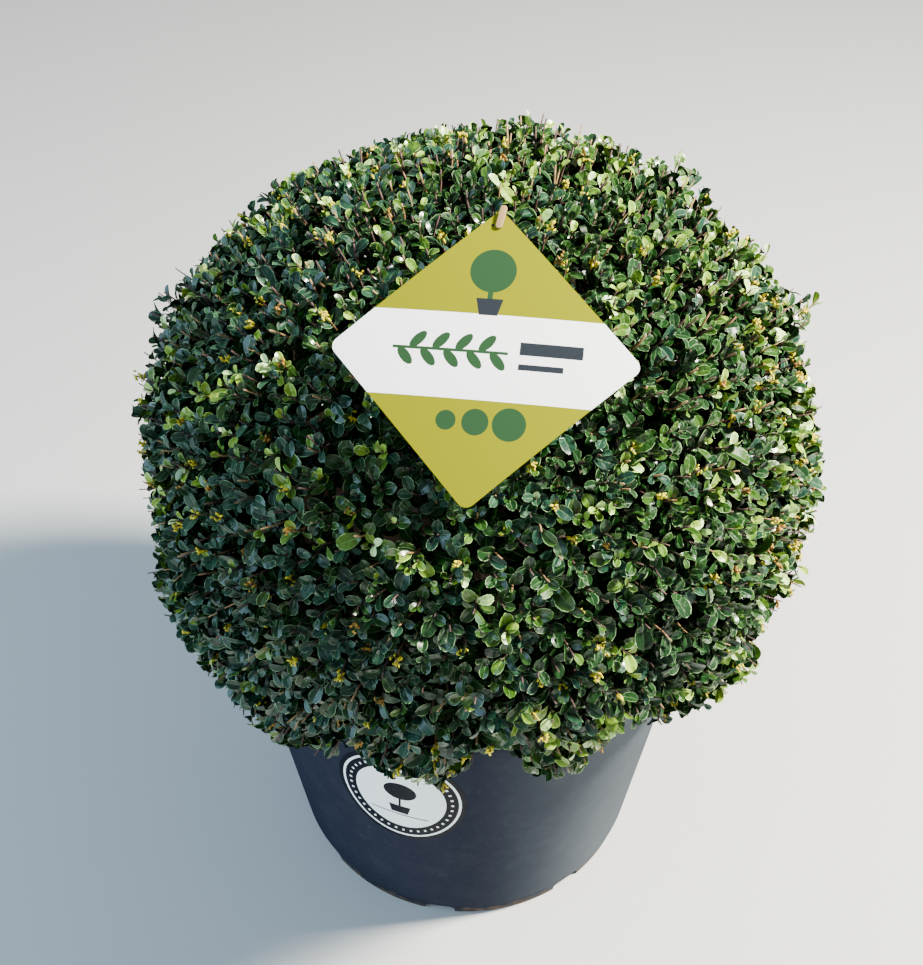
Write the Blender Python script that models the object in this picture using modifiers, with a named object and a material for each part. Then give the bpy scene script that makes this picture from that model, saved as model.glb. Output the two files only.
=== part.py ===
"""Clipped ball of Japanese holly in a nursery pot, with a square hang tag.

Metres, +Z up. The origin is the centre of the pot's flat underside, and the
front of the plant, with the tag, looks along -Y.
"""
import math
import random

import bmesh
import bpy
from mathutils import Matrix, Vector

# Gap kept between pieces that touch.
SEAT_GAP = 0.0003

# Pot: a plain round nursery container of about 70 litres.
POT_HEIGHT = 0.425
POT_BASE_RADIUS = 0.216
POT_TOP_RADIUS = 0.264
POT_WALL = 0.004
POT_FLOOR = 0.005
POT_SEGMENTS = 64
RIM_BAND_HEIGHT = 0.012
RIM_BAND_STEP = 0.002
RIM_ROUNDING = 0.0012
FOOT_HEIGHT = 0.022
FOOT_STEP = 0.0025
DRAIN_COUNT = 8
DRAIN_WIDTH = 0.038
DRAIN_HEIGHT = 0.014
DRAIN_DEPTH = 0.020
DRAIN_FIRST_ANGLE = math.radians(-99)

# Soil, four centimetres under the rim, slightly mounded.
SOIL_LEVEL = 0.385
SOIL_MOUND = 0.006
SOIL_SEAT_RADIUS = 0.045

# Short stem, hidden inside the ball.
STEM_TOP = 0.520
STEM_FOOT_RADIUS = 0.030
STEM_MID_RADIUS = 0.019
STEM_TIP_RADIUS = 0.015
STEM_LEAN = 0.008

# Crown: an ellipsoid that shears have left slightly uneven.
CROWN_CENTRE = Vector((0.011, 0.0, 0.581))
CROWN_HALF_WIDTH = 0.349
CROWN_HALF_HEIGHT = 0.335
LOWEST_ELEVATION = math.radians(-35)
CROWN_UNDERSIDE = 0.431
CROWN_HEM = 0.401
# Swellings and dips of the clipped surface, as seen from the crown's centre:
# azimuth and elevation in degrees, half width in degrees, height in metres.
SWELLINGS = (
    (9, 32, 12, 0.014),
    (28, 47, 9, 0.008),
    (-150, -15, 18, 0.010),
    (131, 56, 22, -0.007),
    (-20, -5, 16, -0.007),
    (-165, 5, 9, -0.008),
    (-37, -15, 5, 0.009),
    (-32, -10, 4, -0.012),
    (-16, 5, 7, 0.008),
    (6, 28, 4, 0.009),
    (11, 34, 4, -0.008),
    (20, 41, 6, -0.008),
    (32, 49, 5, 0.007),
    (53, 57, 4, 0.007),
    (71, 61, 4, 0.007),
    (147, 48, 7, 0.008),
    (162, 38, 4, 0.005),
    (175, 26, 5, 0.008),
    (-176, 17, 5, 0.006),
    (-161, 0, 6, -0.013),
    (-156, -5, 4, 0.008),
)
# Bays in the hem, where foliage draws back to the pot's rim: azimuth and half
# width in degrees, depth in metres. They open between two elevations, in degrees.
BAYS = (
    (-124, 6, 0.045),
    (-88.5, 5, 0.045),
    (-56, 8, 0.042),
    (-8, 6, 0.030),
    (38, 7, 0.035),
    (84, 6, 0.030),
    (127, 8, 0.035),
    (172, 6, 0.030),
)
BAY_TOP = -6
BAY_FLOOR = -20
# Tiers of the branching rule: how many ends, and their share of the reach.
BOUGH_TIER = (9, 0.45)
BRANCH_TIER = (42, 0.76)
SHOOT_TIER = (110, 0.935)
TIER_JITTER = 0.20
CORE_SHARE = 0.875
CORE_HEM_SHARE = 0.955
CORE_SEGMENTS = 24
CORE_RINGS = 15
SHOOT_ROOT_RADIUS = 0.0042
SHOOT_TIP_RADIUS = 0.0022
SHOOT_SUNK = 0.018
SHOOT_STRAIGHTENING = 0.6
SOCKET_RADIUS = 0.030

# Leaves, three times life size so that a few hundred cover the ball.
LEAF_LENGTH = 0.060
LEAF_WIDTH = 0.039
LEAF_THICKNESS = 0.0024
LEAF_CUP = 0.0040
LEAF_BLUNTNESS = 0.3
LEAVES_PER_SHOOT = 4
LEAF_SIZES = (1.0, 0.85, 0.7)
CLIP_TOLERANCE = 0.002
LEAF_SPREAD = math.radians(84)
TOP_LEAF_SPREAD = math.radians(58)
LEAF_JITTER = 0.15
LOWEST_LEAF = 0.60
HIGHEST_LEAF = 0.92
GOLDEN_ANGLE = math.pi * (3 - math.sqrt(5))
POT_CLEARANCE = 0.004
SEED = 41

# Hang tag: a square card on a peg through its top corner. The peg's flat tongue
# lies on the card and stands out past the corner.
TAG_SIDE = 0.179
TAG_THICKNESS = 0.0012
TAG_CORNER = 0.008
TAG_CORNER_STEPS = 5
TAG_DISTANCE = 0.362
TAG_AZIMUTH = math.radians(-89.9)
TAG_ELEVATION = math.radians(54.9)
TAG_TILT = math.radians(32.8)
TAG_TWIST = math.radians(-12.5)
TAG_TURN = math.radians(48.6)
TAG_HOLE_RADIUS = 0.0028
TAG_HOLE_INSET = 0.0100
TAG_HOLE_STEPS = 16
TAG_CLEARANCE = 0.003
PEG_RADIUS = 0.0022
PEG_LENGTH = 0.040
TONGUE_WIDTH = 0.0085
TONGUE_THICKNESS = 0.0016
TONGUE_BELOW = 0.0040
TONGUE_ABOVE = 0.0210
TONGUE_CORNER = 0.0038
TONGUE_CORNER_STEPS = 4
TONGUE_TURN = math.radians(-53)
PEG_SEGMENTS = 12
PEG_TWIG_RADIUS = 0.0035
PEG_TWIG_LENGTH = 0.045


def direction(azimuth, elevation):
    """Unit vector for an azimuth from +X and an elevation, in radians."""
    level = math.cos(elevation)
    return Vector((level * math.cos(azimuth), level * math.sin(azimuth), math.sin(elevation)))


def bay_depth(way):
    """How far the hem's bays draw the surface back in a direction."""
    down = (BAY_TOP - math.degrees(math.asin(way.z))) / (BAY_TOP - BAY_FLOOR)
    down = min(1, max(0, down))
    azimuth = math.degrees(math.atan2(way.y, way.x))
    depth = 0
    for middle, half_width, most in BAYS:
        aside = (azimuth - middle + 180) % 360 - 180
        depth += most * math.exp(-(aside / half_width) ** 2)
    return depth * down * down * (3 - 2 * down)


def crown_reach(way):
    """Distance from the crown's centre to its clipped surface."""
    level = math.hypot(way.x, way.y)
    reach = 1 / math.hypot(level / CROWN_HALF_WIDTH, way.z / CROWN_HALF_HEIGHT)
    for azimuth, elevation, half_width, height in SWELLINGS:
        lobe = direction(math.radians(azimuth), math.radians(elevation))
        angle = math.degrees(way.angle(lobe))
        reach += height * math.exp(-(angle / half_width) ** 2)
    return reach - bay_depth(way)


def crown_point(way, share):
    return CROWN_CENTRE + way * crown_reach(way) * share


def tier_directions(count, rng):
    """Directions spread evenly over the ball down to its hem, a little shaken."""
    lowest = math.sin(LOWEST_ELEVATION)
    shake = TIER_JITTER / math.sqrt(count)
    ways = []
    for index in range(count):
        height = 1 - (1 - lowest) * (index + 0.5) / count
        azimuth = index * GOLDEN_ANGLE
        way = direction(azimuth, math.asin(height))
        way += Vector([rng.uniform(-shake, shake) for _ in range(3)])
        ways.append(way.normalized())
    return ways


def grow_tiers(rng):
    """Ends of boughs, branches and shoots, each with the end that it grows from."""
    stem_tip = Vector((STEM_LEAN, 0, STEM_TOP))
    parents = [stem_tip]
    tiers = []
    for count, share in (BOUGH_TIER, BRANCH_TIER, SHOOT_TIER):
        limbs = []
        for way in tier_directions(count, rng):
            end = crown_point(way, share)
            parent = min(parents, key=lambda place: (place - end).length)
            limbs.append((parent, end))
        parents = [end for parent, end in limbs]
        tiers.append(limbs)
    return tiers


def tag_frame():
    """Placement of the card: its X and Y are its edges, its Z faces outwards."""
    centre = CROWN_CENTRE + direction(TAG_AZIMUTH, TAG_ELEVATION) * TAG_DISTANCE
    turn = Matrix.Rotation(TAG_TWIST, 4, "Z") @ Matrix.Rotation(TAG_TILT, 4, "X")
    return Matrix.Translation(centre) @ turn @ Matrix.Rotation(TAG_TURN, 4, "Z")


def peg_place():
    """Where the peg crosses the card, in the card's own frame."""
    inset = TAG_SIDE / 2 - TAG_HOLE_INSET
    return Vector((inset, inset, 0))


def material(name, colour, roughness, metallic=0.0):
    finish = bpy.data.materials.new(name)
    finish.use_nodes = True
    shader = finish.node_tree.nodes["Principled BSDF"]
    shader.inputs["Base Color"].default_value = (*colour, 1)
    shader.inputs["Roughness"].default_value = roughness
    shader.inputs["Metallic"].default_value = metallic
    finish.diffuse_color = (*colour, 1)
    return finish


def new_collection(name):
    collection = bpy.data.collections.new(name)
    bpy.context.scene.collection.children.link(collection)
    return collection


def add_object(name, data, collection, finish=None):
    piece = bpy.data.objects.new(name, data)
    collection.objects.link(piece)
    if finish:
        data.materials.append(finish)
    return piece


def mesh_from(name, build):
    """Mesh made by a function that fills a bmesh."""
    shape = bmesh.new()
    build(shape)
    mesh = bpy.data.meshes.new(name)
    shape.to_mesh(mesh)
    shape.free()
    return mesh


def profile_mesh(name, points):
    """Open profile in the XZ plane, for a Screw modifier."""
    def build(shape):
        verts = [shape.verts.new((radius, 0, height)) for radius, height in points]
        for first, second in zip(verts, verts[1:]):
            shape.edges.new((first, second))
    return mesh_from(name, build)


def turn_profile(piece, segments):
    screw = piece.modifiers.new("Turn", "SCREW")
    screw.steps = segments
    screw.render_steps = segments
    screw.use_merge_vertices = True
    screw.merge_threshold = 0.00005
    screw.use_smooth_shade = True


def as_cutter(piece):
    piece.hide_render = True
    piece.display_type = "WIRE"


def freeze(piece):
    """Replaces an object's mesh by what its modifiers make of it."""
    bpy.context.view_layer.update()
    evaluated = piece.evaluated_get(bpy.context.evaluated_depsgraph_get())
    mesh = bpy.data.meshes.new_from_object(evaluated)
    mesh.name = piece.name
    piece.modifiers.clear()
    piece.data = mesh


def pot_radius(height):
    """Outer radius of the pot's plain wall at a height."""
    return POT_BASE_RADIUS + (POT_TOP_RADIUS - POT_BASE_RADIUS) * height / POT_HEIGHT


def pot_profile():
    """Open profile from the middle of the floor over the rim to the underside."""
    band_bottom = POT_HEIGHT - RIM_BAND_HEIGHT
    rim_outer = pot_radius(POT_HEIGHT) + RIM_BAND_STEP
    rim_inner = pot_radius(POT_HEIGHT) - POT_WALL
    foot_radius = pot_radius(FOOT_HEIGHT) - FOOT_STEP
    return [
        (0, POT_FLOOR),
        (pot_radius(POT_FLOOR) - POT_WALL - FOOT_STEP, POT_FLOOR),
        (foot_radius - POT_WALL, FOOT_HEIGHT),
        (pot_radius(band_bottom) - POT_WALL, band_bottom),
        (rim_inner, POT_HEIGHT - RIM_ROUNDING),
        (rim_inner + RIM_ROUNDING, POT_HEIGHT),
        (rim_outer - RIM_ROUNDING, POT_HEIGHT),
        (rim_outer, POT_HEIGHT - RIM_ROUNDING),
        (pot_radius(band_bottom) + RIM_BAND_STEP, band_bottom + RIM_ROUNDING),
        (pot_radius(band_bottom), band_bottom - RIM_BAND_STEP / 2),
        (pot_radius(FOOT_HEIGHT), FOOT_HEIGHT + FOOT_STEP),
        (foot_radius, FOOT_HEIGHT),
        (POT_BASE_RADIUS - FOOT_STEP, RIM_ROUNDING),
        (POT_BASE_RADIUS - FOOT_STEP - RIM_ROUNDING, 0),
        (0, 0),
    ]


def make_drain_cutter(angle, cutters):
    """Rounded block across the corner between wall and floor."""
    def build(shape):
        bmesh.ops.create_cube(shape, size=1)
        size = (DRAIN_DEPTH * 2, DRAIN_WIDTH, DRAIN_HEIGHT * 2)
        bmesh.ops.scale(shape, vec=size, verts=shape.verts)
        across = [edge for edge in shape.edges
                  if abs(edge.verts[0].co.x - edge.verts[1].co.x) > DRAIN_DEPTH]
        bmesh.ops.bevel(shape, geom=across, offset=DRAIN_HEIGHT / 2, segments=3,
                        profile=0.5, affect="EDGES")
    cutter = add_object("drain_cutter", mesh_from("drain_cutter", build), cutters)
    cutter.rotation_euler = (0, 0, angle)
    cutter.location = direction(angle, 0) * POT_BASE_RADIUS
    as_cutter(cutter)


def make_pot(parts, cutters):
    finish = material("pot_plastic", (0.022, 0.025, 0.031), 0.45)
    pot = add_object("pot", profile_mesh("pot", pot_profile()), parts, finish)
    turn_profile(pot, POT_SEGMENTS)
    for index in range(DRAIN_COUNT):
        make_drain_cutter(DRAIN_FIRST_ANGLE + index * math.tau / DRAIN_COUNT, cutters)
    drains = pot.modifiers.new("Drains", "BOOLEAN")
    drains.operation = "DIFFERENCE"
    drains.operand_type = "COLLECTION"
    drains.collection = cutters
    return pot


def make_soil(parts):
    """Potting soil that fills the pot, with a level seat for the stem."""
    floor = POT_FLOOR + SEAT_GAP
    inside = POT_WALL + SEAT_GAP * 2
    edge_level = SOIL_LEVEL - SOIL_MOUND
    points = [
        (0, SOIL_LEVEL),
        (SOIL_SEAT_RADIUS, SOIL_LEVEL),
        (pot_radius(edge_level) * 0.6, SOIL_LEVEL - SOIL_MOUND * 0.35),
        (pot_radius(edge_level) - inside, edge_level),
        (pot_radius(FOOT_HEIGHT) - FOOT_STEP - inside, FOOT_HEIGHT),
        (pot_radius(floor) - FOOT_STEP - inside, floor),
        (0, floor),
    ]
    finish = material("potting_soil", (0.045, 0.030, 0.020), 0.95)
    soil = add_object("soil", profile_mesh("soil", points), parts, finish)
    turn_profile(soil, POT_SEGMENTS)
    return soil


def make_stem(parts):
    """Short stem with a flared foot, a slight lean and a true taper."""
    foot = SOIL_LEVEL + SEAT_GAP
    height = STEM_TOP - foot
    stations = (
        (0.0, 1.0, 0.0),
        (0.10, 0.82, 0.0),
        (0.26, STEM_MID_RADIUS / STEM_FOOT_RADIUS, 0.10),
        (0.55, 0.57, 0.45),
        (0.85, STEM_TIP_RADIUS / STEM_FOOT_RADIUS, 1.0),
        (1.0, STEM_TIP_RADIUS / STEM_FOOT_RADIUS * 0.98, 1.0),
    )
    curve = bpy.data.curves.new("stem", "CURVE")
    curve.dimensions = "3D"
    curve.bevel_depth = STEM_FOOT_RADIUS
    curve.bevel_resolution = 3
    curve.use_fill_caps = True
    spline = curve.splines.new("POLY")
    spline.points.add(len(stations) - 1)
    for point, (share, girth, lean) in zip(spline.points, stations):
        point.co = (STEM_LEAN * lean, 0, foot + height * share, 1)
        point.radius = girth
    finish = material("stem_bark", (0.16, 0.12, 0.085), 0.85)
    return add_object("stem", curve, parts, finish)


def leaf_mesh():
    """Blunt, slightly cupped leaf of ten faces, along +X from its root."""
    def build(shape):
        bmesh.ops.create_uvsphere(shape, u_segments=5, v_segments=2, radius=1)
        for vert in shape.verts:
            along, across, up = -vert.co.y, vert.co.x, vert.co.z
            along += LEAF_BLUNTNESS * (1 - along * along)
            middle = LEAF_CUP if abs(up) > 0.5 else 0
            vert.co = (LEAF_LENGTH / 2 * (along + 1), LEAF_WIDTH / 2 * across,
                       LEAF_THICKNESS / 2 * up - middle)
    return mesh_from("leaf", build)


def frame_on(origin, along, up):
    """Placement whose X runs along and whose Z is as near to up as it can be."""
    axis_x = along.normalized()
    axis_y = up.cross(axis_x).normalized()
    axis_z = axis_x.cross(axis_y)
    turn = Matrix((axis_x, axis_y, axis_z)).transposed().to_4x4()
    return Matrix.Translation(origin) @ turn


def add_twig(name, start, end, radii, sides, fused):
    """Tapering twig from its root to its tip."""
    length = (end - start).length

    def build(shape):
        bmesh.ops.create_cone(shape, cap_ends=True, segments=sides, depth=length,
                              radius1=radii[0], radius2=radii[1])
    twig = add_object(name, mesh_from(name, build), fused)
    turn = (end - start).to_track_quat("Z", "Y").to_matrix().to_4x4()
    twig.matrix_world = Matrix.Translation((start + end) / 2) @ turn


def leaf_places(start, end, rng):
    """Placements of the leaves that stand round the free end of a shoot."""
    axis = (end - start).normalized()
    side = axis.orthogonal().normalized()
    turn = rng.uniform(0, math.tau)
    places = []
    for index in range(LEAVES_PER_SHOOT):
        share = index / (LEAVES_PER_SHOOT - 1)
        spread = LEAF_SPREAD + (TOP_LEAF_SPREAD - LEAF_SPREAD) * share ** 2
        spread += rng.uniform(-LEAF_JITTER, LEAF_JITTER)
        turn += GOLDEN_ANGLE + rng.uniform(-LEAF_JITTER, LEAF_JITTER)
        sideways = Matrix.Rotation(turn, 3, axis) @ side
        along = axis * math.cos(spread) + sideways * math.sin(spread)
        root = start.lerp(end, LOWEST_LEAF + (HIGHEST_LEAF - LOWEST_LEAF) * share)
        places.append(frame_on(root, along, axis))
    return places


def edge_samples(place):
    """Points along the middle and both edges of a leaf."""
    samples = []
    for across in (-0.5, 0, 0.5):
        for along in (0.05, 0.3, 0.5, 0.7, 0.9, 1.0):
            width = LEAF_WIDTH * math.sin(math.pi * min(along, 0.8))
            samples.append(place @ Vector((LEAF_LENGTH * along, width * across, 0)))
    return samples


def clear_of_pot(point):
    """False for a point in or over the pot, or too near its rim."""
    if point.z > POT_HEIGHT + POT_CLEARANCE:
        return True
    return math.hypot(point.x, point.y) > POT_TOP_RADIUS + RIM_BAND_STEP + POT_CLEARANCE


def clear_of_tag(point, card):
    """False for a point under, in or over the card or its peg's tongue, or round the peg."""
    local = card @ point
    from_peg = math.hypot(local.x - peg_place().x, local.y - peg_place().y)
    if local.z > -TAG_CLEARANCE:
        over_card = max(abs(local.x), abs(local.y)) < TAG_SIDE / 2 + TAG_CLEARANCE
        return not over_card and from_peg > TONGUE_ABOVE + TAG_CLEARANCE
    return from_peg > PEG_RADIUS + TAG_CLEARANCE or local.z < -PEG_LENGTH


def inside_reach(place, size):
    """Whether the tip of a leaf of this size stays under the clipped surface."""
    way = place @ Vector((LEAF_LENGTH * size, 0, 0)) - CROWN_CENTRE
    return way.length < crown_reach(way.normalized()) + CLIP_TOLERANCE


def core_share(way):
    """Share of the reach that the core fills: more of it towards the hem."""
    down = min(1, max(0, -way.z / math.sin(-LOWEST_ELEVATION)))
    return CORE_SHARE + (CORE_HEM_SHARE - CORE_SHARE) * down


def core_mesh():
    """Shaded inside of the ball, cut level at its hem outside the pot's rim."""
    def build(shape):
        bmesh.ops.create_uvsphere(shape, u_segments=CORE_SEGMENTS, v_segments=CORE_RINGS,
                                  radius=1)
        for vert in shape.verts:
            way = vert.co.normalized()
            vert.co = crown_point(way, core_share(way))
        whole = shape.verts[:] + shape.edges[:] + shape.faces[:]
        cut = bmesh.ops.bisect_plane(shape, geom=whole, plane_co=(0, 0, CROWN_HEM),
                                     plane_no=(0, 0, -1), clear_outer=True)
        rim = [item for item in cut["geom_cut"] if isinstance(item, bmesh.types.BMEdge)]
        bmesh.ops.edgeloop_fill(shape, edges=rim)
        bmesh.ops.recalc_face_normals(shape, faces=shape.faces)
    return mesh_from("crown", build)


def add_peg_twig(fused):
    """Twig end that stands out of the core to the tag's peg."""
    frame = tag_frame()
    tip = frame @ (peg_place() - Vector((0, 0, PEG_LENGTH + SEAT_GAP)))
    axis = (frame.to_3x3() @ Vector((0, 0, 1))).normalized()
    root = tip - axis * PEG_TWIG_LENGTH
    add_twig("peg_twig", root, tip, (PEG_TWIG_RADIUS * 1.3, PEG_TWIG_RADIUS), 6, fused)


def keep_outer_body(mesh):
    """Fills hollows that fusing sealed, and drops scraps that it left loose."""
    shape = bmesh.new()
    shape.from_mesh(mesh)
    unseen = set(shape.verts)
    bodies = []
    while unseen:
        edge_of_body = [unseen.pop()]
        body = set(edge_of_body)
        while edge_of_body:
            for edge in edge_of_body.pop().link_edges:
                for vert in edge.verts:
                    if vert in unseen:
                        unseen.remove(vert)
                        body.add(vert)
                        edge_of_body.append(vert)
        bodies.append(body)
    largest = max(bodies, key=len)
    others = [vert for body in bodies if body is not largest for vert in body]
    bmesh.ops.delete(shape, geom=others, context="VERTS")
    shape.to_mesh(mesh)
    shape.free()


def make_crown(parts):
    """Clipped ball: a core that twigs and leaves stand out of, fused to one body."""
    rng = random.Random(SEED)
    fused = new_collection("fused")
    finish = material("holly_leaf", (0.045, 0.105, 0.035), 0.42)
    crown = add_object("crown", core_mesh(), parts, finish)
    leaf = leaf_mesh()
    card = tag_frame().inverted()
    shoots = grow_tiers(rng)[-1]
    leaf_count = 0
    for parent, end in shoots:
        way = (end - CROWN_CENTRE).normalized()
        free = crown_reach(way) * (SHOOT_TIER[1] - core_share(way)) + SHOOT_SUNK
        from_parent = (end - parent).normalized()
        start = end - from_parent.lerp(way, SHOOT_STRAIGHTENING).normalized() * free
        if not (clear_of_pot(end) and clear_of_tag(end, card)):
            continue
        add_twig("shoot", start, end, (SHOOT_ROOT_RADIUS, SHOOT_TIP_RADIUS), 3, fused)
        for place in leaf_places(start, end, rng):
            samples = edge_samples(place)
            if not all(clear_of_pot(point) and clear_of_tag(point, card) for point in samples):
                continue
            size = next((size for size in LEAF_SIZES if inside_reach(place, size)), None)
            if size is None:
                continue
            piece = add_object("leaf", leaf, fused)
            piece.matrix_world = place @ Matrix.Scale(size, 4)
            leaf_count += 1
    print("shoots", len(shoots), "leaves", leaf_count)
    add_peg_twig(fused)
    union = crown.modifiers.new("Fuse", "BOOLEAN")
    union.operation = "UNION"
    union.operand_type = "COLLECTION"
    union.collection = fused
    freeze(crown)
    for piece in list(fused.objects):
        bpy.data.objects.remove(piece)
    bpy.data.collections.remove(fused)
    keep_outer_body(crown.data)
    return crown


def hollow_underside(crown, cutters):
    """Cuts room for the pot's rim, and a socket whose roof meets the stem's tip."""
    rim_room = POT_TOP_RADIUS + RIM_BAND_STEP + POT_CLEARANCE / 2
    below = CROWN_HEM - 0.1
    rooms = (
        ("rim_cutter", rim_room, CROWN_UNDERSIDE, 0, POT_SEGMENTS),
        ("socket_cutter", SOCKET_RADIUS, STEM_TOP + SEAT_GAP, STEM_LEAN / 2, 16),
    )
    for name, radius, roof, offset, segments in rooms:
        def build(shape):
            bmesh.ops.create_cone(shape, cap_ends=True, segments=segments,
                                  depth=roof - below, radius1=radius, radius2=radius)
        cutter = add_object(name, mesh_from(name, build), cutters)
        cutter.location = (offset, 0, (roof + below) / 2)
        as_cutter(cutter)
        cut = crown.modifiers.new(name, "BOOLEAN")
        cut.operation = "DIFFERENCE"
        cut.object = cutter


def arc(centre, radius, start, sweep, steps):
    """Points round an arc, both ends included, with angles in degrees."""
    angles = [math.radians(start + sweep * step / steps) for step in range(steps + 1)]
    return [(centre[0] + radius * math.cos(angle), centre[1] + radius * math.sin(angle))
            for angle in angles]


def rounded_outline(low, high, corner, steps):
    """Rectangle between two opposite corners, with its corners rounded."""
    points = []
    for quarter, (across, along) in enumerate(((1, 1), (0, 1), (0, 0), (1, 0))):
        centre = [(high[axis] - corner) if side else (low[axis] + corner)
                  for axis, side in enumerate((across, along))]
        points += arc(centre, corner, 90 * quarter, 90, steps)
    return points


def add_outline(curve, points):
    spline = curve.splines.new("POLY")
    spline.points.add(len(points) - 1)
    for point, (across, along) in zip(spline.points, points):
        point.co = (across, along, 0, 1)
    spline.use_cyclic_u = True


def make_tag(parts):
    """Square card with rounded corners and a hole for the peg."""
    curve = bpy.data.curves.new("tag", "CURVE")
    curve.dimensions = "2D"
    curve.fill_mode = "BOTH"
    curve.extrude = TAG_THICKNESS / 2
    half = TAG_SIDE / 2
    add_outline(curve, rounded_outline((-half, -half), (half, half), TAG_CORNER,
                                       TAG_CORNER_STEPS))
    hole = arc(peg_place(), TAG_HOLE_RADIUS, 0, 360, TAG_HOLE_STEPS)
    add_outline(curve, hole[:-1])
    finish = material("tag_card", (0.92, 0.90, 0.30), 0.35)
    tag = add_object("tag", curve, parts, finish)
    tag.matrix_world = tag_frame()


def tongue_mesh():
    """Flat strip with rounded corners that lies over the card and out past its corner."""
    half = TONGUE_WIDTH / 2
    outline = rounded_outline((-half, -TONGUE_BELOW), (half, TONGUE_ABOVE), TONGUE_CORNER,
                              TONGUE_CORNER_STEPS)

    def build(shape):
        low = TAG_THICKNESS / 2 + SEAT_GAP
        under = shape.faces.new([shape.verts.new((across, along, low))
                                 for across, along in outline])
        grown = bmesh.ops.extrude_face_region(shape, geom=[under])["geom"]
        raised = [item for item in grown if isinstance(item, bmesh.types.BMVert)]
        bmesh.ops.translate(shape, vec=(0, 0, TONGUE_THICKNESS), verts=raised)
        bmesh.ops.recalc_face_normals(shape, faces=shape.faces)
    return mesh_from("tag_peg", build)


def make_peg(parts, cutters):
    """Peg with a flat tongue that holds the card by its top corner to a twig."""
    finish = material("peg_wood", (0.52, 0.36, 0.20), 0.6)
    peg = add_object("tag_peg", tongue_mesh(), parts, finish)
    place = tag_frame() @ Matrix.Translation(peg_place())
    peg.matrix_world = place @ Matrix.Rotation(TONGUE_TURN, 4, "Z")
    top = TAG_THICKNESS / 2 + TONGUE_THICKNESS
    points = [(0, top), (PEG_RADIUS, top), (PEG_RADIUS * 0.8, -PEG_LENGTH), (0, -PEG_LENGTH)]
    pin = add_object("peg_pin", profile_mesh("peg_pin", points), cutters)
    turn_profile(pin, PEG_SEGMENTS)
    pin.matrix_world = place
    as_cutter(pin)
    fuse = peg.modifiers.new("Pin", "BOOLEAN")
    fuse.operation = "UNION"
    fuse.object = pin


def main():
    for piece in list(bpy.data.objects):
        bpy.data.objects.remove(piece)
    parts = new_collection("japanese_holly")
    drain_cutters = new_collection("drain_cutters")
    crown_cutters = new_collection("crown_cutters")
    make_pot(parts, drain_cutters)
    make_soil(parts)
    make_stem(parts)
    crown = make_crown(parts)
    hollow_underside(crown, crown_cutters)
    make_tag(parts)
    make_peg(parts, crown_cutters)


main()
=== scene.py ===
import math

import bmesh
import bpy
import numpy as np
from mathutils import Matrix, Vector


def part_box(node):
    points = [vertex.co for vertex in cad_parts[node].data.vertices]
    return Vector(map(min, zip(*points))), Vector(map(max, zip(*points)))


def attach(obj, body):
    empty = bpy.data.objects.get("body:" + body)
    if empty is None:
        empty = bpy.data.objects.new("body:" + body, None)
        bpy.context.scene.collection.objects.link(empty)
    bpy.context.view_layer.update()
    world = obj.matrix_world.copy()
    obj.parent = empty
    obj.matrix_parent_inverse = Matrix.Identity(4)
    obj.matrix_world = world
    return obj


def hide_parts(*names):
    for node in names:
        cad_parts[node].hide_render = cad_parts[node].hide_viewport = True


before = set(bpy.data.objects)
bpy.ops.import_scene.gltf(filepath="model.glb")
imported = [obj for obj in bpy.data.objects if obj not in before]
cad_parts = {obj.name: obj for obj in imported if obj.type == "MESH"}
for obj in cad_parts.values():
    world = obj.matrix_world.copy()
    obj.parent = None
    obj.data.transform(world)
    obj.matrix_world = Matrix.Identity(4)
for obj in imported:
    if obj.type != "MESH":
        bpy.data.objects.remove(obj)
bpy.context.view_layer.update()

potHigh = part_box("pot")[1]
goldenAngle = math.pi * (3 - math.sqrt(5))


class Wire:
    # a socket that can be used in sums; each operator adds one Math node

    def __init__(self, tree, socket):
        self.tree = tree
        self.socket = socket

    def combine(self, operation, first, second=None):
        node = self.tree.nodes.new("ShaderNodeMath")
        node.operation = operation
        for place, value in zip(node.inputs, (first, second)):
            if isinstance(value, Wire):
                self.tree.links.new(value.socket, place)
            elif value is not None:
                place.default_value = value
        return Wire(self.tree, node.outputs[0])

    def __add__(self, other):
        return self.combine("ADD", self, other)

    __radd__ = __add__

    def __mul__(self, other):
        return self.combine("MULTIPLY", self, other)

    def __sub__(self, other):
        return self.combine("SUBTRACT", self, other)

    def __rsub__(self, other):
        return self.combine("SUBTRACT", other, self)

    def __truediv__(self, other):
        return self.combine("DIVIDE", self, other)

    def __abs__(self):
        return self.combine("ABSOLUTE", self)

    def power(self, other):
        return self.combine("POWER", self, other)

    def above(self, other):
        return self.combine("GREATER_THAN", self, other)

    def below(self, other):
        return self.combine("LESS_THAN", self, other)

    def most(self, other):
        return self.combine("MAXIMUM", self, other)


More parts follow.
